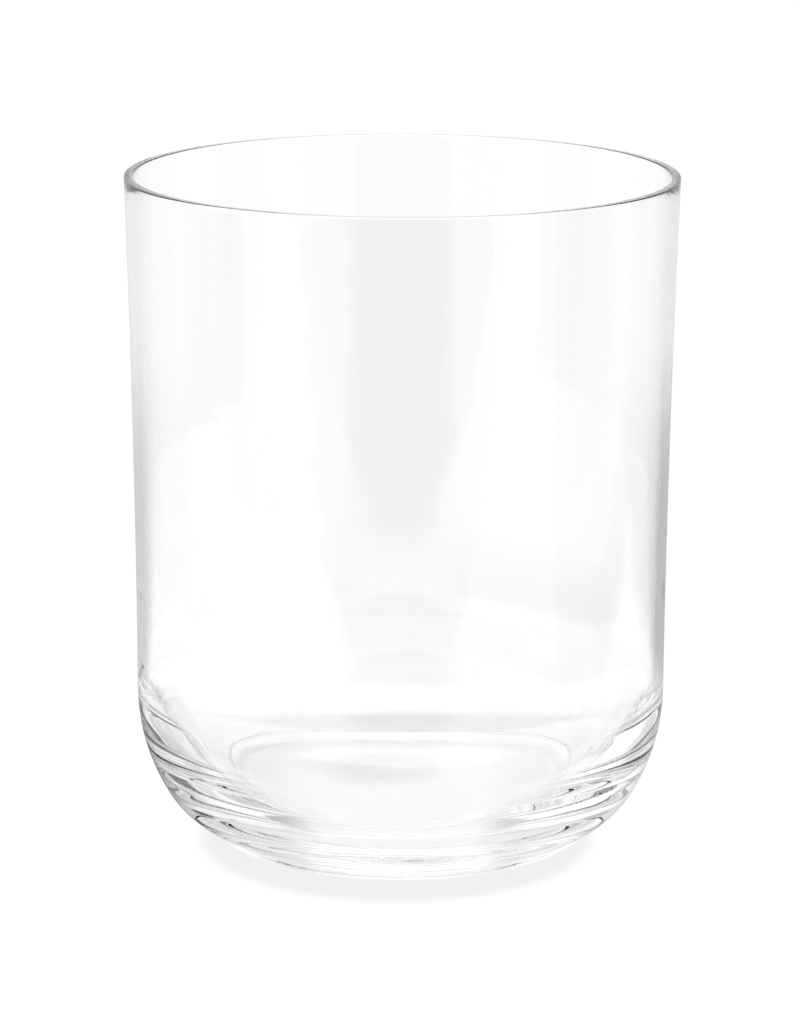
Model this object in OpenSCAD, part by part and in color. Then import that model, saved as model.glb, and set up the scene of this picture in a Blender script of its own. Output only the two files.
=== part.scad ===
// Clear glass tumbler, made in one piece: a thin wall that flares a little towards the rim,
// runs down through a wide rounded corner and thickens into a heavy base on a low foot.
// The section is one closed path of arcs in the half plane (radius, height), turned about the
// upright axis. The origin is in the middle of the standing level, with Z up, in millimetres.

/* [Rim and wall] */
// Outside diameter over the rim
rim_d = 85; // [66:0.5:120]
// Height from the standing level to the top of the rim
height = 103.4; // [70:0.1:180]
// How far the wall flares outwards between its waist and the rim, on each side
flare = 1.2; // [0.2:0.1:8]
// Thickness of the wall above the corner
wall = 1.35; // [0.8:0.05:4]
// Rounding of the two edges of the flat rim, from the flame that polished it
rim_edge_r = 0.35; // [0.1:0.05:0.65]

/* [Lower corner, outside] */
// Radius of the upper arc, where the wall starts to turn in
side_r = 30.4; // [18:0.1:60]
// Angle that the upper arc turns through
side_turn = 30; // [15:1:50]
// Radius of the lower arc, which runs in under the glass to the foot
heel_r = 14.5; // [8:0.1:17.5]

/* [Lower corner, inside] */
// Radius of the upper arc inside
bowl_side_r = 26.5; // [14:0.1:45]
// Angle that the upper arc inside turns through
bowl_turn = 37; // [20:1:55]
// Radius of the lower arc inside, which meets the floor
bowl_floor_r = 11; // [5:0.1:14]

/* [Base] */
// Thickness of the base, from the standing level to the floor inside
floor_h = 6.7; // [4:0.1:16]
// Diameter of the foot
foot_d = 60.4; // [40:0.1:78]
// Height of the step at the foot's side
foot_h = 1.1; // [0.9:0.1:4]
// Rounding of the foot's lower edge
foot_edge_r = 0.45; // [0.1:0.05:0.65]
// Fillet in the crease between the foot's side and the corner above it
foot_crease_r = 0.4; // [0.1:0.05:0.8]
// Width of the flat ring that the glass stands on
ring_w = 3.2; // [1:0.1:8]
// Depth of the shallow hollow under the base
punt_h = 0.4; // [0.2:0.1:3]

/* [Hidden] */

// Faces around the axis, and the steps along a tight bend, a wide bend and a nearly straight arc
turn_fn = 180;
edge_steps = 5;
bend_steps = 12;
wide_steps = 8;
// Colour of the glass: red, green, blue and opacity
clear_glass = [0.88, 0.94, 0.94, 0.45];

// Outside: radius at the waist, and the size of the rounded corner below it
waist_r = rim_d / 2 - flare;
corner_w = side_r - (side_r - heel_r) * cos(side_turn);
corner_h = heel_r + (side_r - heel_r) * sin(side_turn);
heel_x = waist_r - corner_w;
foot_r = foot_d / 2;

// Height of the corner's curve above its own lowest level, at a radius.
// With a gap, it is the height of the curve that runs outside the corner's at that distance
function corner_rise(r, gap = 0) =
    r <= heel_x ? -gap
    : r - heel_x <= (heel_r + gap) * cos(side_turn)
    ? heel_r - sqrt(pow(heel_r + gap, 2) - pow(r - heel_x, 2))
    : corner_h - sqrt(pow(side_r + gap, 2) - pow(r - waist_r + side_r, 2));

// The curve ends on top of the foot's step, and that sets its lowest level and the waist's level
corner_z = foot_h - corner_rise(foot_r);
waist_z = corner_z + corner_h;

// A fillet fills the crease between the curve and the foot's side, and touches both
crease_x = foot_r + foot_crease_r;
crease_z = corner_z + corner_rise(crease_x, foot_crease_r);
crease_on_heel = crease_x - heel_x <= (heel_r + foot_crease_r) * cos(side_turn);
crease_turn = crease_x <= heel_x ? 90
    : crease_on_heel ? acos((crease_x - heel_x) / (heel_r + foot_crease_r))
    : acos((crease_x - waist_r + side_r) / (side_r + foot_crease_r));

// The wall is one very wide arc, upright at the waist, that has the full flare at the rim.
// Its rise is measured to the centres of the rim's round edges, which touch the arc's two faces
flare_rise = height - rim_edge_r - waist_z;
flare_r = (pow(flare_rise, 2) + pow(flare, 2)) / (2 * flare) - rim_edge_r;
flare_x = waist_r + flare_r;
outer_lean = asin(flare_rise / (flare_r + rim_edge_r));
inner_lean = asin(flare_rise / (flare_r + wall - rim_edge_r));
inner_edge_x = flare_x - (flare_r + wall - rim_edge_r) * cos(inner_lean);

// Inside: the level where the bowl's corner starts, and the inner radius there
bowl_h = bowl_floor_r + (bowl_side_r - bowl_floor_r) * sin(bowl_turn);
bowl_w = bowl_side_r - (bowl_side_r - bowl_floor_r) * cos(bowl_turn);
bowl_z = floor_h + bowl_h;
bowl_r = flare_x - sqrt(pow(flare_r + wall, 2) - pow(bowl_z - waist_z, 2));

// The hollow underneath is a shallow cap of a large ball
punt_r = foot_r - foot_edge_r - ring_w;
punt_ball_r = (pow(punt_r, 2) + pow(punt_h, 2)) / (2 * punt_h);

// Points along an arc about a centre, from one angle to another, without the first point
function arc(centre, r, from, to, steps) =
    [for (i = [1:steps]) let (a = from + (to - from) * i / steps) centre + r * [cos(a), sin(a)]];

// The hollow under the base, the standing ring, the foot's rounded edge and side, and the crease
function foot_path() = concat(
    [[0, punt_h]],
    arc([0, punt_h - punt_ball_r], punt_ball_r, 90, 90 - asin(punt_r / punt_ball_r), wide_steps),
    [[foot_r - foot_edge_r, 0]],
    arc([foot_r - foot_edge_r, foot_edge_r], foot_edge_r, -90, 0, edge_steps),
    [[foot_r, crease_z]],
    arc([crease_x, crease_z], foot_crease_r, 180, 180 - crease_turn, edge_steps)
);

// The outside of the rounded corner, from its lowest point up to the waist
function corner_path() = concat(
    [[heel_x, corner_z]],
    arc([heel_x, corner_z + heel_r], heel_r, -90, -side_turn, bend_steps),
    arc([waist_r - side_r, waist_z], side_r, -side_turn, 0, wide_steps)
);

// The outside of the wall, over the flat rim, and down the inside to the bowl's corner
function wall_path() = concat(
    arc([flare_x, waist_z], flare_r, 180, 180 - outer_lean, wide_steps),
    arc([rim_d / 2 - rim_edge_r, height - rim_edge_r], rim_edge_r, -outer_lean, 90, edge_steps),
    [[inner_edge_x, height]],
    arc([inner_edge_x, height - rim_edge_r], rim_edge_r, 90, 180 - inner_lean, edge_steps),
    arc([flare_x, waist_z], flare_r + wall, 180 - inner_lean,
        180 - asin((bowl_z - waist_z) / (flare_r + wall)), wide_steps)
);

// The inside corner, down to the edge of the flat floor, and the middle of the floor
function bowl_path() = concat(
    arc([bowl_r - bowl_side_r, bowl_z], bowl_side_r, 0, -bowl_turn, wide_steps),
    arc([bowl_r - bowl_w, floor_h + bowl_floor_r], bowl_floor_r, -bowl_turn, -90, bend_steps),
    [[0, floor_h]]
);

// The corner's curve is only seen outside the crease, so its points further in are left out
module glass_section() {
    crease_end = [crease_x - foot_crease_r * cos(crease_turn), crease_z + foot_crease_r * sin(crease_turn)];
    polygon(concat(
        foot_path(),
        [for (p = corner_path()) if (p.x > crease_end.x && p.y > crease_end.y) p],
        wall_path(),
        bowl_path()
    ));
}

module glass_body() {
    color(clear_glass) rotate_extrude($fn = turn_fn) glass_section();
}

glass_body();
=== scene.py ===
# %% [markdown]
# # A clear glass tumbler
# The tumbler is one piece of clear, colourless glass. A thin wall flares a little towards a flat
# rim, and a wide rounded corner thickens it into a heavy base on a low foot. The imported model
# holds its true size and place, so the first cell loads that model. It also keeps the model's
# box, which gives the glass made here its rim radius and height, so the glass stays inside it.

# %% Load the imported model
import math
import bpy
import numpy as np
from mathutils import Euler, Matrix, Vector


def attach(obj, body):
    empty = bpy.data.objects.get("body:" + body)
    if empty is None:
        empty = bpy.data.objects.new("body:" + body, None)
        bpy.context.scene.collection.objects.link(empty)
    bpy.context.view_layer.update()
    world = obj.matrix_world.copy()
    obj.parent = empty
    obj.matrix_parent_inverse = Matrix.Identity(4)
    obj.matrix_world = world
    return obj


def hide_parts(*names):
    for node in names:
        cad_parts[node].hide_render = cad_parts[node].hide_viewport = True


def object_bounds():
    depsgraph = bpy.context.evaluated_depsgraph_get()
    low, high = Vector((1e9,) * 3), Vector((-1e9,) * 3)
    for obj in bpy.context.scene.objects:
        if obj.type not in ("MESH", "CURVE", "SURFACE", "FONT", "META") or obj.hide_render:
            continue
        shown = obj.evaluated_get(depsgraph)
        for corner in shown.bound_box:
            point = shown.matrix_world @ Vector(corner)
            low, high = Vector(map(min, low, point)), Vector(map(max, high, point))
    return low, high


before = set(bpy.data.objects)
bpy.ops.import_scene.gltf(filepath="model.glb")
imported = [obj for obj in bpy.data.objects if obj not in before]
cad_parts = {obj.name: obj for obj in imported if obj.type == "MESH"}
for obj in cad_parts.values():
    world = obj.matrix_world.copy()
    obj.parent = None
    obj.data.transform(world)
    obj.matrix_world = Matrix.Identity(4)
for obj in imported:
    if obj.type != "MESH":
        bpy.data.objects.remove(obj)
cad_low, cad_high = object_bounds()
print("model box in metres:", list(cad_low), list(cad_high))

# %% [markdown]
# ## Camera
# The photograph was taken with a long lens, about 14 rim radii away, looking down by under 14
# degrees. A long lens keeps the mouth's ellipse flat and the sides nearly upright. The place
# could be found by eye, but the ellipses of the rim and the foot and the slight lean of the
# sides fix it well, so these values were fitted to them and need no shift of the lens.

# %% Place the camera
frame_h = 1025               # height of the photograph's frame, in pixels
focal_px = 3927              # focal length, in pixels of that frame
sensor_h = 36                # the sensor's longer side, in millimetres
camera_back = 0.595          # from the axis of the glass, in metres
camera_up = 0.1944           # above the table
camera_aside = -0.00018
look_down = math.radians(13.64)
camera_roll = math.radians(0.21)

camera = bpy.data.cameras.new("camera")
camera.sensor_width = sensor_h
camera.lens = focal_px / frame_h * sensor_h
camera.clip_start = 0.01
camera_object = bpy.data.objects.new("camera", camera)
camera_object.location = (camera_aside, -camera_back, camera_up)
camera_object.rotation_euler = (Euler((math.pi / 2 - look_down, 0, 0)).to_matrix()
                                @ Euler((0, 0, camera_roll)).to_matrix()).to_euler()
bpy.context.scene.collection.objects.link(camera_object)
bpy.context.scene.camera = camera_object
print("lens: %.1f mm" % camera.lens)

# %% [markdown]
# ## Sizes
# A glassmaker's drawing of a tumbler is half a section: radii and heights, with a few arcs. The
# rim's radius and the height come from the loaded box. The other sizes are the drawing's own,
# in millimetres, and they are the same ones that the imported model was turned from.

# %% Driving sizes, in millimetres
MM = 0.001
rim_r = min(-cad_low[0], -cad_low[1], cad_high[0], cad_high[1]) / MM
height = cad_high[2] / MM
flare = 1.2                  # how far the wall leans out between waist and rim
wall = 1.35
rim_edge_r = 0.35            # softening of the two edges of the flat rim
side_r, side_turn = 30.4, math.radians(30)            # upper arc of the corner outside
heel_r = 14.5                # lower arc of the corner outside
bowl_side_r, bowl_turn = 26.5, math.radians(37)       # upper arc of the corner inside
bowl_floor_r = 11.0          # lower arc of the corner inside
floor_h = 6.7                # thickness of the base
foot_r, foot_h = 30.2, 1.1
foot_edge_r = 0.45           # rounding of the foot's lower edge
foot_crease_r = 0.4          # fillet above the foot's side
ring_w = 3.2                 # width of the ring that the glass stands on
punt_h = 0.4                 # depth of the shallow hollow underneath
print("rim radius %.3f mm, height %.3f mm" % (rim_r, height))

# %% [markdown]
# ## The section
# The outline of the section is one closed walk: from the middle of the underside out to the
# foot, up the outside, over the rim, down the inside and along the floor to the middle. It
# could be drawn as a curve and given a screw modifier. Arcs worked out with numpy are chosen
# here, because each one touches the next at a known angle, and because the inner stretches can
# then be rippled before the turning.

# %% Walk along arcs and straight lines
def arc(centre, r, start, end, steps):
    """Points of a circle: the centre plus r times the cosine and the sine of the angle.

    The angles run at equal steps. The first point is left out, as the stretch before ends there.
    """
    angle = np.linspace(start, end, steps + 1)[1:]
    return np.stack([centre[0] + r * np.cos(angle), centre[1] + r * np.sin(angle)], axis=1)


def line(start, end, steps):
    """Points at equal steps from start to end, without the first point."""
    share = np.linspace(0, 1, steps + 1)[1:, None]
    return np.array(start) * (1 - share) + np.array(end) * share


# %% [markdown]
# ## Where the arcs meet
# The lower corner is two arcs outside and two inside, and the wall between them is what makes
# the base look heavy. The outside curve runs on under the glass until it meets the foot, and
# that sets its level. A small fillet fills the crease there. The wall is one very wide arc.

# %% Work out the centres
waist_r = rim_r - flare
corner_w = side_r - (side_r - heel_r) * math.cos(side_turn)
corner_h = heel_r + (side_r - heel_r) * math.sin(side_turn)
heel_x = waist_r - corner_w
corner_z = foot_h - (heel_r - math.sqrt(heel_r ** 2 - (foot_r - heel_x) ** 2))
waist_z = corner_z + corner_h

crease_x = foot_r + foot_crease_r
crease_z = corner_z + heel_r - math.sqrt((heel_r + foot_crease_r) ** 2 - (crease_x - heel_x) ** 2)
crease_turn = math.acos((crease_x - heel_x) / (heel_r + foot_crease_r))

flare_rise = height - rim_edge_r - waist_z
flare_r = (flare_rise ** 2 + flare ** 2) / (2 * flare) - rim_edge_r
flare_x = waist_r + flare_r
outer_lean = math.asin(flare_rise / (flare_r + rim_edge_r))
inner_lean = math.asin(flare_rise / (flare_r + wall - rim_edge_r))
inner_edge_x = flare_x - (flare_r + wall - rim_edge_r) * math.cos(inner_lean)

bowl_w = bowl_side_r - (bowl_side_r - bowl_floor_r) * math.cos(bowl_turn)
bowl_z = floor_h + bowl_floor_r + (bowl_side_r - bowl_floor_r) * math.sin(bowl_turn)
bowl_lean = math.asin((bowl_z - waist_z) / (flare_r + wall))
bowl_r = flare_x - (flare_r + wall) * math.cos(bowl_lean)

punt_r = foot_r - foot_edge_r - ring_w
punt_ball_r = (punt_r ** 2 + punt_h ** 2) / (2 * punt_h)
print("waist at %.1f mm, inner corner starts at %.1f mm" % (waist_z, bowl_z))

# %% [markdown]
# ## The closed outline
# A nearly straight stretch needs few points, and a tight bend needs many for its length. The
# inside has more than the outside, because its ripples need several points for each wave.

# %% Join the stretches
edge_steps = 8               # round each small edge and the crease
flat_steps = 4               # over the standing ring and the flat rim
foot_side_steps = 3
punt_steps = 24
heel_steps, side_steps, wall_steps = 28, 24, 20
inner_wall_steps, inner_corner_steps, floor_steps = 60, 36, 32

outside = np.concatenate([
    arc((0, punt_h - punt_ball_r), punt_ball_r, math.pi / 2,
        math.pi / 2 - math.asin(punt_r / punt_ball_r), punt_steps),
    line((punt_r, 0), (foot_r - foot_edge_r, 0), flat_steps),
    arc((foot_r - foot_edge_r, foot_edge_r), foot_edge_r, -math.pi / 2, 0, edge_steps),
    line((foot_r, foot_edge_r), (foot_r, crease_z), foot_side_steps),
    arc((crease_x, crease_z), foot_crease_r, math.pi, math.pi - crease_turn, edge_steps),
    arc((heel_x, corner_z + heel_r), heel_r, -crease_turn, -side_turn, heel_steps),
    arc((waist_r - side_r, waist_z), side_r, -side_turn, 0, side_steps),
    arc((flare_x, waist_z), flare_r, math.pi, math.pi - outer_lean, wall_steps),
    arc((rim_r - rim_edge_r, height - rim_edge_r), rim_edge_r, -outer_lean, math.pi / 2, edge_steps),
    line((rim_r - rim_edge_r, height), (inner_edge_x, height), flat_steps),
    arc((inner_edge_x, height - rim_edge_r), rim_edge_r, math.pi / 2, math.pi - inner_lean, edge_steps),
])
inside = np.concatenate([
    arc((flare_x, waist_z), flare_r + wall, math.pi - inner_lean, math.pi - bowl_lean,
        inner_wall_steps),
    arc((bowl_r - bowl_side_r, bowl_z), bowl_side_r, 0, -bowl_turn, inner_corner_steps),
    arc((bowl_r - bowl_w, floor_h + bowl_floor_r), bowl_floor_r, -bowl_turn, -math.pi / 2,
        inner_corner_steps),
    line((bowl_r - bowl_w, floor_h), (0, floor_h), floor_steps)[:-1],
])
print("outline: %d points outside, %d inside" % (len(outside), len(inside)))

# %% [markdown]
# ## Ripples
# The outside of a blown tumbler takes the smoothness of its turning mould. The inside is shaped
# by air alone, so it keeps faint rings in the corner and faint upright streaks on the wall. They
# are a few hundredths of a millimetre high at most, and still they break every reflection in
# the corner into thin lines. A bump map would bend the light too, but the thickness of the glass
# would not change with it, so the ripples are put into the surface itself.

# %% Ripple the inner face
ring_count, streak_count = 7, 10
ring_waves = 4.5, 14.0                       # shortest and longest wavelength, in millimetres
ring_wander = 0.25, 1.1                      # how far a ring drifts in phase around the glass
ring_swell = 0.7                             # how far its height changes around the glass
streak_lean = 0.02                           # drift of a streak for each millimetre, at most
corner_at, corner_spread = 33, 15            # along the inside, in millimetres from its middle
floor_at, floor_spread, floor_share = 14, 8, 0.8
wall_share, wall_begins_over, wall_fade_from, wall_fade_to = 0.25, 12, 50, 90
streaks_from, streaks_full, rim_fade = 20, 40, 3


def ripple(path, turn, ring_height, streak_height, seed):
    """How far the inner face moves along its normal, for each point of the path and each angle.

    Rings are sines of the distance along the path. Their phase and height drift with the
    angle, so that none closes evenly. They are strongest in the corner and on the outer part
    of the floor, and fade out up the wall. Streaks are sines of the angle, with 3 to 25 waves
    around, which live on the wall.
    """
    rng = np.random.default_rng(seed)
    step = np.linalg.norm(np.gradient(path, axis=0), axis=1)
    along = np.cumsum(step)
    along = (along[-1] - along)[:, None]
    angle = turn[None, :]
    rings = 0 * along * angle
    for _ in range(ring_count):
        wave = rng.uniform(*ring_waves)
        phase = rng.uniform(0, 2 * math.pi)
        lobes = rng.integers(1, 5)
        wander = rng.uniform(*ring_wander) * np.sin(lobes * angle + rng.uniform(0, 2 * math.pi))
        swell = 1 + ring_swell * np.cos(rng.integers(1, 4) * angle + rng.uniform(0, 2 * math.pi))
        rings = rings + wave / 6 * swell * np.sin(2 * math.pi * along / wave + phase + wander)
    corner = np.exp(-((along - corner_at) / corner_spread) ** 2)
    up_wall = np.clip((wall_fade_to - along) / (wall_fade_to - wall_fade_from), 0, 1)
    fading = wall_share * up_wall * np.clip(along / wall_begins_over, 0, 1)
    fading = fading + floor_share * np.exp(-((along - floor_at) / floor_spread) ** 2)
    streaks = 0 * along * angle
    for _ in range(streak_count):
        waves = rng.integers(3, 26)
        phase = rng.uniform(0, 2 * math.pi)
        lean = rng.uniform(-streak_lean, streak_lean) * along
        streaks = streaks + np.sin(waves * angle + phase + lean) / waves
    on_wall = np.clip((along - streaks_from) / (streaks_full - streaks_from), 0, 1)
    on_wall = on_wall * np.clip((along[0] - along) / rim_fade, 0, 1)
    return ring_height * rings * (corner + fading) + streak_height * streaks * on_wall


around = 328                 # points on each turned ring
turn = np.linspace(0, 2 * math.pi, around, endpoint=False)
moved = ripple(inside, turn, ring_height=0.005, streak_height=0.03, seed=7)
print("ripples: %.3f to %.3f mm" % (moved.min(), moved.max()))

# %% [markdown]
# ## Turning the section
# A lathe turns a section in space. Here the section is turned by multiplying its radii with the
# cosines and sines of many angles. Neighbouring rings are joined by four-sided faces, and the
# two middles, under and over the base, are closed by a fan about one point each. The more
# angles, the fewer facets show in the reflections of the corner, and 328 keep the glass just
# under 200,000 triangles.

# %% Turn the glass
def turned_mesh(name, turn, radii, heights, under, over):
    """A closed body from rings of points: radii and heights hold one row for each ring.

    A point lies at its radius times the cosine and the sine of its turn, and at its height. The
    first ring surrounds the middle point at the height under, the last the one at over. Every
    face's corners run so that it points out of the glass.
    """
    points = np.stack([radii * np.cos(turn), radii * np.sin(turn), heights], axis=-1)
    middles = [[0, 0, under], [0, 0, over]]
    points = np.concatenate([points.reshape(-1, 3), middles]) * MM
    rings, count = len(radii), len(turn)
    row = np.arange(rings - 1)[:, None] * count
    here = np.arange(count)
    after = (here + 1) % count
    quads = np.stack([row + here, row + after, row + count + after, row + count + here], axis=-1)
    last = (rings - 1) * count
    bottom = np.stack([np.full(count, rings * count), after, here], axis=-1)
    top = np.stack([np.full(count, rings * count + 1), last + here, last + after], axis=-1)
    mesh = bpy.data.meshes.new(name)
    mesh.from_pydata(points, [], quads.reshape(-1, 4).tolist() + bottom.tolist() + top.tolist())
    mesh.update()
    mesh.shade_smooth()
    return mesh


slope = np.gradient(inside, axis=0)
slope = slope / np.linalg.norm(slope, axis=1)[:, None]
radii = np.concatenate([outside[:, :1] + 0 * turn, inside[:, :1] - slope[:, 1:] * moved])
heights = np.concatenate([outside[:, 1:] + 0 * turn, inside[:, 1:] + slope[:, :1] * moved])
glass_mesh = turned_mesh("tumbler_glass", turn, radii, heights, punt_h, heights[-1].mean())
glass = bpy.data.objects.new("tumbler_glass", glass_mesh)
bpy.context.scene.collection.objects.link(glass)
print("glass: %d points, %d faces" % (len(glass_mesh.vertices), len(glass_mesh.polygons)))

# %% [markdown]
# ## Sums in a node tree
# The finishes below are sums of soft steps and noises over a place. Math nodes could be set up
# by hand for each, but a few helpers that take sockets or plain numbers keep them readable.

# %% Helpers for sums
def math_node(tree, operation, first, second=0.0):
    """A Math node on one or two values, each a socket or a number."""
    node = tree.nodes.new("ShaderNodeMath")
    node.operation = operation
    for socket, value in zip(node.inputs, (first, second)):
        if isinstance(value, (int, float)):
            socket.default_value = value
        else:
            tree.links.new(value, socket)
    return node.outputs[0]


def joined(tree, operation, values):
    """The values taken together by one operation, from the first to the last."""
    result = values[0]
    for value in values[1:]:
        result = math_node(tree, operation, result, value)
    return result


def product(tree, *values):
    """All the values multiplied."""
    return joined(tree, "MULTIPLY", values)


def total(tree, *values):
    """All the values added up."""
    return joined(tree, "ADD", values)


def largest(tree, *values):
    """The largest of the values."""
    return joined(tree, "MAXIMUM", values)


def minus(tree, first, second):
    """The first value less the second."""
    return math_node(tree, "SUBTRACT", first, second)


def length(tree, first, second):
    """The square root of the sum of two squares."""
    squares = total(tree, product(tree, first, first), product(tree, second, second))
    return math_node(tree, "SQRT", squares)


# %% Helpers for soft steps and noise
def ramp(tree, value, over, gives):
    """A smooth step from the first given number, before the stretch, to the second, after it."""
    node = tree.nodes.new("ShaderNodeMapRange")
    node.interpolation_type = "SMOOTHSTEP"
    node.inputs["From Min"].default_value, node.inputs["From Max"].default_value = over
    node.inputs["To Min"].default_value, node.inputs["To Max"].default_value = gives
    tree.links.new(value, node.inputs["Value"])
    return node.outputs[0]


def band(tree, value, rise, fall, gives=(0.0, 1.0)):
    """A soft band: a step up over the rise, times a step down to nothing over the fall."""
    return product(tree, ramp(tree, value, rise, gives), ramp(tree, value, fall, (1.0, 0.0)))


def stretched_noise(tree, place, scales, detail):
    """Noise with its own scale along each axis, so that it runs in streaks. Returns its value."""
    stretch = tree.nodes.new("ShaderNodeVectorMath")
    stretch.operation = "MULTIPLY"
    stretch.inputs[1].default_value = scales
    noise = tree.nodes.new("ShaderNodeTexNoise")
    noise.inputs["Scale"].default_value = 1
    noise.inputs["Detail"].default_value = detail
    tree.links.new(place, stretch.inputs[0])
    tree.links.new(stretch.outputs[0], noise.inputs["Vector"])
    return noise.outputs["Fac"]


def place_and_axes(tree, coordinate):
    """A texture coordinate, and its three parts."""
    place = tree.nodes.new("ShaderNodeTexCoord").outputs[coordinate]
    split = tree.nodes.new("ShaderNodeSeparateXYZ")
    tree.links.new(place, split.inputs[0])
    return place, split.outputs


# %% [markdown]
# ## Clear glass
# The glass is colourless, so what the eye reads is only bending and reflection: an index of
# 1.5, no roughness, and an absorption so faint that only long paths inside the base show it.
# The skin of real glass is never quite even, by some thousandths of a millimetre. On the wall
# the unevenness is fine and slightly upright, and it frays the edges of the reflections. In the
# corner it lies level, like traces of the turning mould. Low on one side it is strongest, as
# cords: threads of glass that never melted in fully. All this is finer than a sensible mesh, so
# noises in a bump carry it. The rim has none, because the flame that polished it made it smooth.

# %% The unevenness of the skin
def glass_skin(tree, rim_z):
    """Height of the skin, as a share of its depth: each noise times the zone that it lives in."""
    place, (x, _, z) = place_and_axes(tree, "Object")
    even = stretched_noise(tree, place, (260, 260, 260), 3)
    upright = stretched_noise(tree, place, (170, 170, 18), 2)
    level = stretched_noise(tree, place, (14, 14, 560), 0)
    cords = ramp(tree, stretched_noise(tree, place, (110, 110, 620), 0), (0.50, 0.66), (0.0, 1.0))

    on_wall = band(tree, z, (0.026, 0.040), (rim_z - 0.007, rim_z - 0.003))
    in_corner = band(tree, z, (0.014, 0.024), (0.030, 0.048), (0.0, 0.4))
    one_side = product(tree, ramp(tree, x, (-0.0412, -0.0380), (1.0, 0.0)),
                       band(tree, z, (0.016, 0.022), (0.036, 0.045)))
    fine = total(tree, product(tree, even, 0.8), product(tree, upright, 0.3))
    return total(tree, product(tree, fine, on_wall), product(tree, level, in_corner),
                 product(tree, cords, one_side, 1.5))


# %% The glass material
skin_depth = 0.00002         # metres
glass_index = 1.5
absorbed_per_metre = 0.8     # density of the absorption


def glass_material(rim_z):
    """Clear glass with a faint unevenness in its skin, but none at the fire-polished rim."""
    material = bpy.data.materials.new("clear_glass")
    material.use_nodes = True
    tree = material.node_tree
    shader = tree.nodes["Principled BSDF"]
    shader.inputs["Base Color"].default_value = (1, 1, 1, 1)
    shader.inputs["Roughness"].default_value = 0.0
    shader.inputs["IOR"].default_value = glass_index
    shader.inputs["Transmission Weight"].default_value = 1.0

    bump = tree.nodes.new("ShaderNodeBump")
    bump.inputs["Distance"].default_value = skin_depth
    tree.links.new(glass_skin(tree, rim_z), bump.inputs["Height"])
    tree.links.new(bump.outputs["Normal"], shader.inputs["Normal"])

    absorption = tree.nodes.new("ShaderNodeVolumeAbsorption")
    absorption.inputs["Color"].default_value = (0, 0, 0, 1)
    absorption.inputs["Density"].default_value = absorbed_per_metre
    tree.links.new(absorption.outputs["Volume"], tree.nodes["Material Output"].inputs["Volume"])
    return material


clear_glass = glass_material(height * MM)
glass_mesh.materials.append(clear_glass)
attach(glass, "root")
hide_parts("glass_body")
print("clear glass: a material of %d nodes" % len(clear_glass.node_tree.nodes))

# %% [markdown]
# ## The table
# Clear glass shows only what stands around it. On a white table under white light it would all
# but vanish, so a photographer keeps the table bright behind the glass and dark in front of it,
# and lets light fall from both sides. The dark part would look odd from another side. So the
# table is white to the eye and through the glass, apart from painted light and shade close to
# the glass, and only light that the glass has mirrored meets a painted dark front, painted lanes
# of light at both sides and painted shade behind. It lies a fiftieth of a millimetre under the
# foot, because a glass stands on a film of air, and because two faces in one place would mix in
# the picture.

# %% The floor
floor_half = 6.0             # metres
air_gap = 0.00002            # metres
floor_mesh = bpy.data.meshes.new("floor")
floor_mesh.from_pydata([(-floor_half, -floor_half, -air_gap), (floor_half, -floor_half, -air_gap),
                        (floor_half, floor_half, -air_gap), (-floor_half, floor_half, -air_gap)],
                       [], [(0, 1, 2, 3)])
floor = bpy.data.objects.new("floor", floor_mesh)
bpy.context.scene.collection.objects.link(floor)
print("floor: %.0f m square, %.2f mm under the foot" % (2 * floor_half, air_gap / MM))

# %% [markdown]
# ## Light and shade under the glass
# A glass gathers light into soft pools on its table and leaves soft shade beside them. A path
# tracer finds light that was bent through glass only by chance, so these would come out slow
# and full of specks. They are faint and their places are plain to see, so they are drawn on the
# table's material as soft-edged ovals, measured in the same millimetres as the glass.

# %% The table to the eye
white = 0.95                 # brightness of the bare table
waver_depth = 0.005          # metres: how far noise moves the smaller ovals' edges

# Each oval of painted light and shade: its middle and half sizes in millimetres, its blur, and the light
# that it adds, which paints shade where it is below nothing
painted_shade_in_front = (-0.7, -9.8), (30.2, 30.2), 0.07, -0.125
painted_light_through_foot = (0, 0), (29.8, 29.8), 0.03, 0.10
painted_small_ovals = (
    ((2, 37), (34, 9), 0.3, -0.13),              # shade under the corner behind
    ((0, 56), (36, 8), 0.4, 0.22),               # light gathered behind the corner
    ((0, 23), (13, 3.5), 0.4, 0.16),             # and under the base in two pools,
    ((1, 6), (17, 8), 0.3, 0.20),
    ((-4, -1), (10, 8), 0.45, -0.15),            # but not under its middle
)


def soft_oval(tree, x, y, middle, half_sizes, blur, amount):
    """A soft-edged oval of painted light on the table, painted shade where the amount is below
    nothing: the amount inside and nothing outside.

    The distance from the middle, in half sizes, goes through a soft step at one, and the blur
    is the step's width to either side.
    """
    parts = [math_node(tree, "DIVIDE", minus(tree, value, centre * MM), half * MM)
             for value, centre, half in zip((x, y), middle, half_sizes)]
    return ramp(tree, length(tree, *parts), (1 - blur, 1 + blur), (amount, 0.0))


def table_light(tree, place, x, y):
    """Brightness of the table to the eye: white, with painted light and shade where the glass throws
    them.
    """
    light = total(tree, soft_oval(tree, x, y, *painted_shade_in_front),
                  soft_oval(tree, x, y, *painted_light_through_foot), white)
    waver = minus(tree, stretched_noise(tree, place, (90, 90, 90), 3), 0.5)
    waver = product(tree, waver, waver_depth)
    x, y = total(tree, x, waver), total(tree, y, waver)
    return total(tree, light, *[soft_oval(tree, x, y, *oval) for oval in painted_small_ovals])


# %% [markdown]
# ## What the glass mirrors of the table
# The outside of the wall mirrors the table low down, up to half a metre away, and each height
# on the wall meets its own distance. Cards and lamps could be stood around the glass for this,
# but they would show in the pictures from other sides. The same zones are painted on the table
# instead, seen only in mirrored looks: a straight edge and a line from the axis bound each
# painted lane of light, and noise frays the edge.

# %% A painted lane of light
lane_blur = 0.012            # metres, at the straight edge
limit_blur = 0.05            # at the other end, as a cosine


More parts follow.
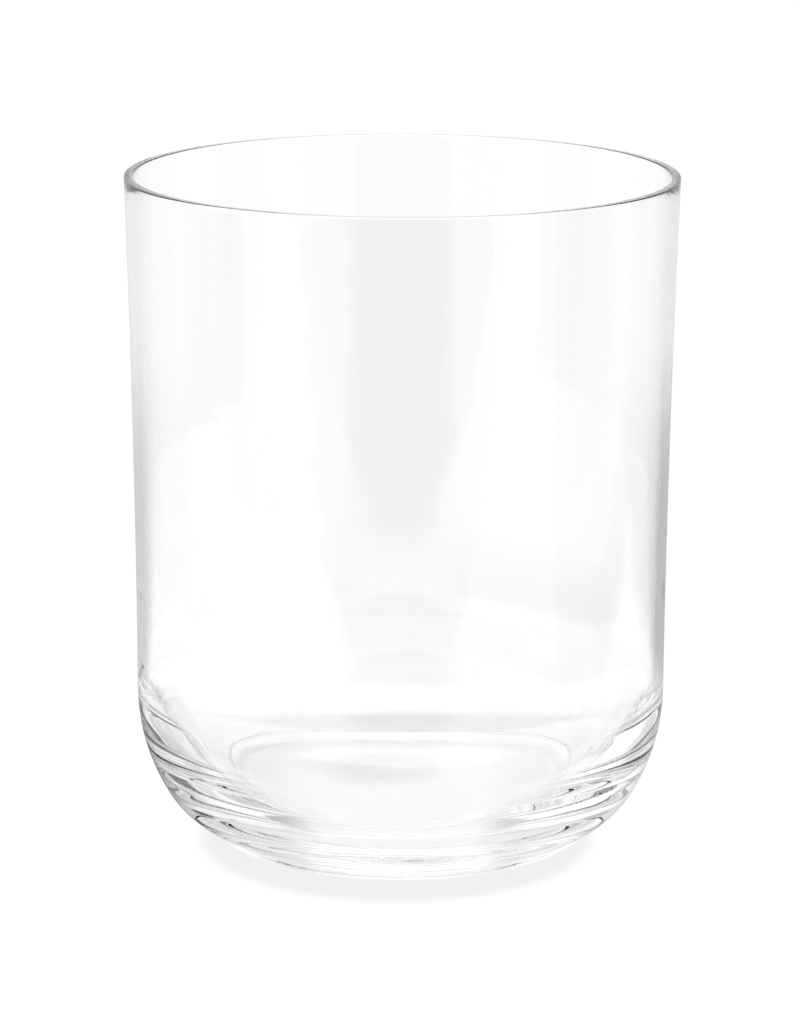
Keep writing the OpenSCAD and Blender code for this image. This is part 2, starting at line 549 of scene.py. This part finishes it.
def painted_light_lane(tree, beside, y, away, fray, heading, offset, limit, brightness):
    """A painted bright lane on the table, in place of a lamp at one side mirrored by a glossy table.

    It begins at a straight edge, which leads forwards at a heading measured from the back and
    passes the axis at the offset, in metres. It ends at a line from the axis, and the limit, a
    number or a socket, is the cosine of that line's own heading. Noise in fray moves the first
    edge to and fro.
    """
    across = minus(tree, product(tree, beside, math.cos(heading)), product(tree, y, math.sin(heading)))
    across = total(tree, across, fray)
    begun = ramp(tree, across, (offset - lane_blur, offset + lane_blur), (brightness, 0.0))
    past = minus(tree, math_node(tree, "DIVIDE", y, away), limit)
    return product(tree, begun, ramp(tree, past, (-limit_blur, limit_blur), (1.0, 0.0)))


# %% Painted lanes, shade behind and the ring close by
fray_depth = 0.08            # metres


def both_painted_lanes(tree, place, x, y, away):
    """The painted lanes of light at the left and at the right. The left one is narrower from a third of
    a metre on.
    """
    noise = stretched_noise(tree, place, (28, 28, 28), 5)
    fray = product(tree, minus(tree, noise, 0.5), fray_depth)
    right_lane = painted_light_lane(tree, x, y, away, fray, heading=math.radians(129), offset=0.090,
                            limit=-0.42, brightness=0.70)
    left_limit = ramp(tree, away, (0.27, 0.35), (0.58, -0.38))
    left_lane = painted_light_lane(tree, product(tree, x, -1.0), y, away, fray, heading=math.radians(128),
                           offset=0.095, limit=left_limit, brightness=1.10)
    return largest(tree, right_lane, left_lane)


def painted_shade_behind(tree, x, y, away, sideways):
    """Painted shade on the table behind the glass, seen in mirrored looks: a pale wedge straight back,
    and a deeper one beside it.

    The deeper wedge ends part of the way round at the left and runs on at the right, and it
    fades with the distance.
    """
    straight = ramp(tree, sideways, (0.18, 0.26), (0.17, 0.0))
    outer_end = largest(tree, ramp(tree, sideways, (0.74, 0.86), (1.0, 0.0)),
                        math_node(tree, "GREATER_THAN", x, 0.0))
    wedge = product(tree, ramp(tree, sideways, (0.18, 0.26), (0.0, 1.0)), outer_end)
    depth = product(tree, ramp(tree, x, (-0.02, 0.02), (0.26, 0.38)),
                    ramp(tree, away, (0.24, 0.42), (1.0, 0.2)))
    shade = total(tree, straight, product(tree, wedge, depth))
    return product(tree, shade, ramp(tree, y, (0.05, 0.09), (0.0, 1.0)))


def painted_light_close_by(tree, x, away, sideways):
    """The painted ring of light round the foot: bright in front and behind, half bright at the right,
    dim at the left.
    """
    close = ramp(tree, math_node(tree, "DIVIDE", x, away), (-0.9, 0.1), (0.12, 0.55))
    return largest(tree, close, ramp(tree, sideways, (0.4, 0.8), (0.95, 0.0)))


# %% The painted table to mirrored looks
def painted_mirrored_light(tree, place, x, y):
    """Painted brightness of the table to mirrored looks, from the zones above.

    Further out, the painted bright back, the half-bright sides and the lanes are joined by their
    largest value, darkened by a painted wedge of shade in front, and lessened by the painted shade
    behind. Close by, the painted ring round the foot takes over, and right under the foot the
    table is painted bright.
    """
    away = length(tree, x, y)
    aside = math_node(tree, "ABSOLUTE", x)
    sideways = math_node(tree, "DIVIDE", aside, away)

    light = largest(tree, ramp(tree, y, (-0.10, 0.10), (0.0, 0.9)),
                    ramp(tree, x, (0.05, 0.15), (0.0, 0.40)),
                    ramp(tree, x, (-0.15, -0.05), (0.50, 0.0)),
                    both_painted_lanes(tree, place, x, y, away))
    # Painted shade: a dark wedge on the table in front of the glass, seen in mirrored looks.
    into_front = total(tree, product(tree, aside, 2.5), y)
    light = product(tree, light, ramp(tree, into_front, (-0.06, 0.02), (0.0, 1.0)))
    light = minus(tree, light, painted_shade_behind(tree, x, y, away, sideways))

    close_by = ramp(tree, away, (0.06, 0.11), (1.0, 0.0))
    light = total(tree, product(tree, light, minus(tree, 1.0, close_by)),
                  product(tree, painted_light_close_by(tree, x, away, sideways), close_by))
    return largest(tree, light, ramp(tree, away, (0.028, 0.034), (0.88, 0.0)))


# %% The table's material
table_paint = (0.08, 0.08, 0.08, 1)


def floor_material():
    """White with painted light and shade to straight looks, and a painted lit and shaded studio table to
    mirrored ones.
    """
    material = bpy.data.materials.new("white_table")
    material.use_nodes = True
    tree = material.node_tree
    tree.nodes.clear()
    place, (x, y, _) = place_and_axes(tree, "Object")

    # Straight looks see the white table with its painted ovals of light and shade.
    glow = tree.nodes.new("ShaderNodeEmission")
    tree.links.new(table_light(tree, place, x, y), glow.inputs["Strength"])
    paint = tree.nodes.new("ShaderNodeBsdfDiffuse")
    paint.inputs["Color"].default_value = table_paint
    plain = tree.nodes.new("ShaderNodeAddShader")
    tree.links.new(glow.outputs[0], plain.inputs[0])
    tree.links.new(paint.outputs[0], plain.inputs[1])
    # Mirrored looks see a second copy of the table, with painted lanes of light, dark front and shade.
    mirrored = tree.nodes.new("ShaderNodeEmission")
    tree.links.new(painted_mirrored_light(tree, place, x, y), mirrored.inputs["Strength"])

    path = tree.nodes.new("ShaderNodeLightPath")
    gate = math_node(tree, "GREATER_THAN", path.outputs["Glossy Depth"], 0.5)
    mix = tree.nodes.new("ShaderNodeMixShader")
    tree.links.new(gate, mix.inputs["Fac"])
    tree.links.new(plain.outputs[0], mix.inputs[1])
    tree.links.new(mirrored.outputs[0], mix.inputs[2])
    out = tree.nodes.new("ShaderNodeOutputMaterial")
    tree.links.new(mix.outputs[0], out.inputs["Surface"])
    return material


white_table = floor_material()
floor_mesh.materials.append(white_table)
print("white table: a material of %d nodes" % len(white_table.node_tree.nodes))

# %% [markdown]
# ## Light
# A white room gives nearly all of the light. Clear glass draws its dark lines from the dim parts
# of a room, so this one is dim low down in front, at both sides, overhead and straight behind,
# and soft patches keep its reflections from looking too even. A picture of a real studio would
# do as well, but its parts could not be moved one by one. A large softbox hangs overhead and
# adds a little light from above.

# %% The room
room_brightness = 1.2
patch_scale, patch_depth = 3.2, 1.4


def room_light(tree):
    """A white room with soft patches, dim in front, at both sides, overhead and straight behind.

    The parts of the direction say where a look goes: to the right, to the back and upwards. The
    largest dimness there is taken off the room's brightness, and a noise is added.
    """
    place, (right, back, rise) = place_and_axes(tree, "Generated")
    level = length(tree, right, back)
    backwards = math_node(tree, "DIVIDE", back, level)
    off_side = math_node(tree, "ABSOLUTE", backwards)

    front = product(tree, ramp(tree, back, (-0.8, -0.3), (0.5, 0.0)),
                    ramp(tree, rise, (0.25, 0.55), (1.0, 0.0)))
    at_right = product(tree, ramp(tree, off_side, (0.30, 0.55), (0.52, 0.0)),
                       band(tree, rise, (0.10, 0.34), (0.45, 0.62), (0.2, 1.0)))
    at_left = product(tree, ramp(tree, off_side, (0.12, 0.22), (0.44, 0.0)),
                      ramp(tree, rise, (0.38, 0.50), (1.0, 0.0)))
    to_right = math_node(tree, "GREATER_THAN", right, 0.0)
    side = total(tree, product(tree, at_right, to_right),
                 product(tree, at_left, minus(tree, 1.0, to_right)))
    overhead = ramp(tree, rise, (0.60, 0.80), (0.0, 0.25))
    behind = ramp(tree, backwards, (0.80, 0.95), (0.0, 0.35))

    patches = stretched_noise(tree, place, (patch_scale, patch_scale, patch_scale), 2)
    patches = product(tree, minus(tree, patches, 0.5), patch_depth)
    light = minus(tree, room_brightness, largest(tree, front, side, overhead, behind))
    return total(tree, light, patches)


world = bpy.data.worlds.new("studio")
bpy.context.scene.world = world
world.use_nodes = True
background = world.node_tree.nodes["Background"]
background.inputs["Color"].default_value = (1, 1, 1, 1)
world.node_tree.links.new(room_light(world.node_tree), background.inputs["Strength"])
print("studio room: a background of %d nodes" % len(world.node_tree.nodes))


# %% The softbox
def softbox(name, place, target, size, power):
    """A rectangular area light at a place, turned to face the target."""
    light = bpy.data.lights.new(name, "AREA")
    light.shape = "RECTANGLE"
    light.size, light.size_y = size
    light.energy = power
    box = bpy.data.objects.new(name, light)
    box.location = place
    box.rotation_euler = (Vector(target) - Vector(place)).to_track_quat("-Z", "Y").to_euler()
    bpy.context.scene.collection.objects.link(box)


softbox("top_softbox", place=(0, 0.1, 1.1), target=(0, 0.05, 0), size=(0.8, 0.6), power=2.4)
print("lights:", [light.name for light in bpy.data.lights])

# %% [markdown]
# ## Through the glass
# Light that enters the base may turn inside it dozens of times before it leaves, and a path
# that is cut short counts as black. So the limits on bounces are raised far above the usual
# twelve. The view transform is the plain one, which keeps the white table white.

# %% Light paths and tones
turns_in_glass = 64
turns_off_table = 3
cycles = bpy.context.scene.cycles
cycles.max_bounces = turns_in_glass
cycles.transmission_bounces = turns_in_glass
cycles.glossy_bounces = turns_in_glass
cycles.diffuse_bounces = turns_off_table
bpy.context.scene.view_settings.view_transform = "Standard"
print("bounces: %d at most" % cycles.max_bounces)
